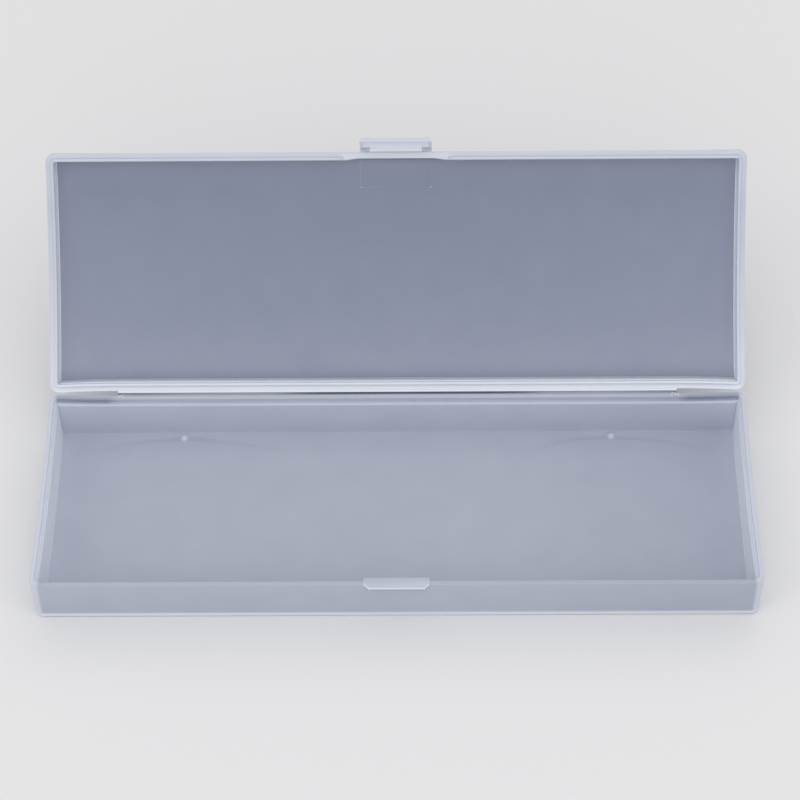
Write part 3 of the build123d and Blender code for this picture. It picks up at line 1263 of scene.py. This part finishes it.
# %% [markdown]
# ## Small things that repeat
# Gussets, gate nibs and the crumbs of flash at the ends of the hinge come in pairs or handfuls.
# One small mesh is drawn for each and a tree puts copies on points, with a size and a turn for
# each from a fixed seed.


# %% Tree that repeats a mesh on points
def random_between(tree, kind, low, high, seed):
    """A random value for each copy. Vectors take the first pair of sockets, numbers the next."""
    place = ("FLOAT_VECTOR", "FLOAT").index(kind)
    inputs = {2 * place: low, 2 * place + 1: high, "Seed": seed}
    return add_node(tree, "FunctionNodeRandomValue", inputs, data_type=kind).outputs[place]


def copies_on_points_tree():
    sockets = [
        ("Points", "Geometry", None),
        ("Copy", "Object", None),
        ("Least Size", "Float", 1.0),
        ("Largest Size", "Float", 1.0),
        ("Turn", "Float", 0.0),
        ("Seed", "Int", 7),
        ("Material", "Material", None),
    ]
    tree, given, result = new_group(
        "copies_on_points", "Geometry", sockets, [("Geometry", "Geometry")]
    )
    seed = given["Seed"]
    turn = add_node(tree, "ShaderNodeCombineXYZ", {"Z": given["Turn"]}).outputs[0]
    drawn = add_node(tree, "GeometryNodeObjectInfo", {0: given["Copy"]})
    inputs = {
        "Points": given["Points"],
        "Instance": drawn.outputs["Geometry"],
        "Rotation": random_between(tree, "FLOAT_VECTOR", (0, 0, 0), turn, seed),
        "Scale": random_between(tree, "FLOAT", given["Least Size"], given["Largest Size"], seed),
    }
    copies = add_node(tree, "GeometryNodeInstanceOnPoints", inputs)
    return end_tree(tree, copies.outputs[0], given["Material"], result)


copies_on_points = copies_on_points_tree()


def repeated(name, one, points, material, **settings):
    """The mesh of copies of one mesh on points."""
    copy = new_object(name + "_one", one)
    spots = path_object(name + "_points", points)
    values = {"Copy": copy, "Material": material, **settings}
    mesh = run_tree(copies_on_points, spots, name, values)
    discard(spots, copy)
    return mesh


def left_and_right(x, y=0, z=0):
    return [(-x, y, z), (x, y, z)]


# %% Gussets of the clasp
gusset_half = 0.5
gusset_points = [(shelf_front, 16.75), (front_y - 0.5, 16.75), (shelf_front, hook_low)]
gusset_rings = bar_rings(gusset_points, (-gusset_half, gusset_half))
# The gussets are milky white: painted light in the shaded corners under the shelf.
gusset = block_mesh("gusset", gusset_rings, rounding=0.1, milk=(1.0, 0.95), painted_glow=0.25)
gusset_spots = left_and_right(half_tab - gusset_half)
gussets = repeated("clasp_gussets", gusset, gusset_spots, frosted_clasp)
finish_piece(
    "clasp_gussets", gussets, frosted_clasp, "latch_body", ["latch_cheeks"], on_lid=True
)


# %% Gate nibs on the floor and corner nibs in the lid
def dome_mesh(name, radius, height, milk_low, milk_top, around=20):
    """A low dome with a dimple on top, as a broken-off gate leaves, milkier towards its middle, where it is
    thickest and carries a painted highlight.
    """
    rows = [(1.15, -0.18), (1, 0), (0.8, 0.2), (0.6, 0.45), (0.4, 0.75), (0.22, 1), (0.1, 0.96)]
    bm = bmesh.new()
    milk = bm.verts.layers.float.new("milk")
    angles = [math.tau * step / around for step in range(around)]
    rings = []
    for share, rise in rows:
        reach, z = radius * share, height * rise
        ring = [bm.verts.new((reach * math.cos(a), reach * math.sin(a), z)) for a in angles]
        for vertex in ring:
            vertex[milk] = milk_low + (milk_top - milk_low) * max(0, 1 - share) ** 1.3
        rings.append(ring)
    wall_between(bm, rings)
    bm.faces.new(rings[-1])
    bm.faces.new(reversed(rings[0]))
    bmesh.ops.recalc_face_normals(bm, faces=bm.faces)
    return mesh_from(bm, name)


gate_nib = dome_mesh("gate_nib", radius=1.5, height=0.62, milk_low=0.52, milk_top=0.86)
gate_spots = left_and_right(gate_x, gate_y, floor_z - 0.02)
gate_nibs = repeated("gate_nibs", gate_nib, gate_spots, frosted_tray)
finish_piece("gate_nibs", gate_nibs, frosted_tray, "tray_body", ["floor_nibs"])

corner_nib = dome_mesh("corner_nib", radius=0.35, height=0.2, milk_low=0.3, milk_top=0.85)
corner_nib.transform(Matrix.Rotation(math.pi, 4, "X"))
corner_spots = left_and_right(half_tab - 0.35, recess_high, panel_z + 0.01)
corner_nibs = repeated("corner_nibs", corner_nib, corner_spots, frosted_clasp)
finish_piece(
    "corner_nibs", corner_nibs, frosted_clasp, "lid_body", ["lid_panel_nibs"], on_lid=True
)

# %% Crumbs of flash at the ends of the hinge
crumb_radius = 0.22
crumb_milk = 0.9
crumb_stretch = 1.6
crumb_squash = 0.35
crumbs_at_each_end = 7


def crumb_mesh():
    bm = bmesh.new()
    bmesh.ops.create_icosphere(bm, subdivisions=1, radius=crumb_radius)
    milk = bm.verts.layers.float.new("milk")
    for vertex in bm.verts:
        vertex[milk] = crumb_milk
        vertex.co.x *= crumb_stretch
        vertex.co.z *= crumb_squash
    return mesh_from(bm, "crumb")


crumb_spots = []
for way in (-1, 1):
    for step in range(crumbs_at_each_end):
        along = (step * 0.37) % 1
        across = (step * 0.61) % 1
        x = way * (half_hinge + 2.4 * along - 1.6)
        crumb_spots.append((x, back_y - 0.9 + across, tray_height - 0.01))
crumb_sizes = {"Least Size": 0.5, "Largest Size": 1.1, "Turn": 6.0}
crumbs = repeated("hinge_flash", crumb_mesh(), crumb_spots, frosted_hinge, **crumb_sizes)
finish_piece("hinge_flash", crumbs, frosted_hinge, "tray_body")

# %% [markdown]
# ## Pieces that bend
# The band of the hinge is blended from the tray to the lid, and the neck of the clasp from the lid
# to the clasp. The two points given are where the bend starts and where it ends, at rest.

# %% Blend the band and the neck
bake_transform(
    hinge_band,
    "tray_body",
    "lid_body",
    start=(0, (hinge_y - 0.16) * mm, (hinge_z - 0.2) * mm),
    end=(0, (hinge_y + 0.25) * mm, (hinge_z + 0.02) * mm),
)
neck_start = swing_open @ Vector((0, front_y, 17.3)) * mm
neck_end = swing_open @ Vector((0, front_y - 0.5, 17.3)) * mm
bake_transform(neck, "lid_body", "latch_body", start=tuple(neck_start), end=tuple(neck_end))
print("neck bends between", [round(v, 5) for v in neck_start], [round(v, 5) for v in neck_end])

# %% [markdown]
# ## The stage and the light
# The box stands on a plain pale floor under large soft lamps, so that the frosted faces read
# without hard highlights. The backdrop's colour is set for what the camera and mirrors see, apart
# from the light it gives.


# %% Floor, backdrop and lamps
pale_grey = (0.78, 0.78, 0.79, 1)
floor_half = 4.0
floor_drop = 0.0002


def make_floor():
    mesh = bpy.data.meshes.new("floor")
    corners = [(-1, -1), (1, -1), (1, 1), (-1, 1)]
    points = [(x * floor_half, y * floor_half, -floor_drop) for x, y in corners]
    mesh.from_pydata(points, [], [(0, 1, 2, 3)])
    floor = new_object("floor", mesh)
    material = bpy.data.materials.new("pale_floor")
    material.use_nodes = True
    shader = material.node_tree.nodes["Principled BSDF"]
    shader.inputs["Base Color"].default_value = pale_grey
    shader.inputs["Roughness"].default_value = 0.9
    mesh.materials.append(material)


def make_world(light, backdrop):
    world = bpy.data.worlds.new("studio")
    world.use_nodes = True
    bpy.context.scene.world = world
    tree = world.node_tree
    tree.nodes.clear()
    seen = add_node(tree, "ShaderNodeLightPath").outputs
    either = math_node(tree, "MAXIMUM", seen["Is Camera Ray"], seen["Is Glossy Ray"])
    either = math_node(tree, "MAXIMUM", either, seen["Is Transmission Ray"])
    lit = add_node(tree, "ShaderNodeBackground", {"Color": (1, 1, 1, 1), "Strength": light})
    shown = add_node(tree, "ShaderNodeBackground", {"Color": backdrop, "Strength": 1.0})
    shaders = {0: either, 1: lit.outputs[0], 2: shown.outputs[0]}
    mixed = add_node(tree, "ShaderNodeMixShader", shaders).outputs[0]
    add_node(tree, "ShaderNodeOutputWorld", {"Surface": mixed})


def soft_lamp(name, place, aim, size, power):
    lamp = bpy.data.lights.new(name, "AREA")
    lamp.shape = "DISK"
    lamp.size = size
    lamp.energy = power
    made = new_object(name, lamp)
    made.location = place
    made.rotation_mode = "QUATERNION"
    direction = Vector(aim) - Vector(place)
    made.rotation_quaternion = direction.to_track_quat("-Z", "Y")


# Rows are (name, place, aim, size, power).
lamps = [
    ("overhead", (0.0, -0.25, 1.2), (0, 0.02, 0.02), 0.9, 1.25),
    ("front", (0.0, -1.3, 0.5), (0, 0.03, 0.02), 0.9, 1.8),
    ("left_front", (-0.8, -0.6, 0.8), (0, 0.02, 0.03), 0.7, 1.35),
    ("right_front", (0.8, -0.6, 0.8), (0, 0.02, 0.03), 0.7, 1.0),
    ("behind", (0.2, 1.0, 0.8), (0, 0.04, 0.03), 0.8, 0.9),
]
make_floor()
make_world(light=0.78, backdrop=pale_grey)
for row in lamps:
    soft_lamp(*row)
print("lamps:", len(lamps))
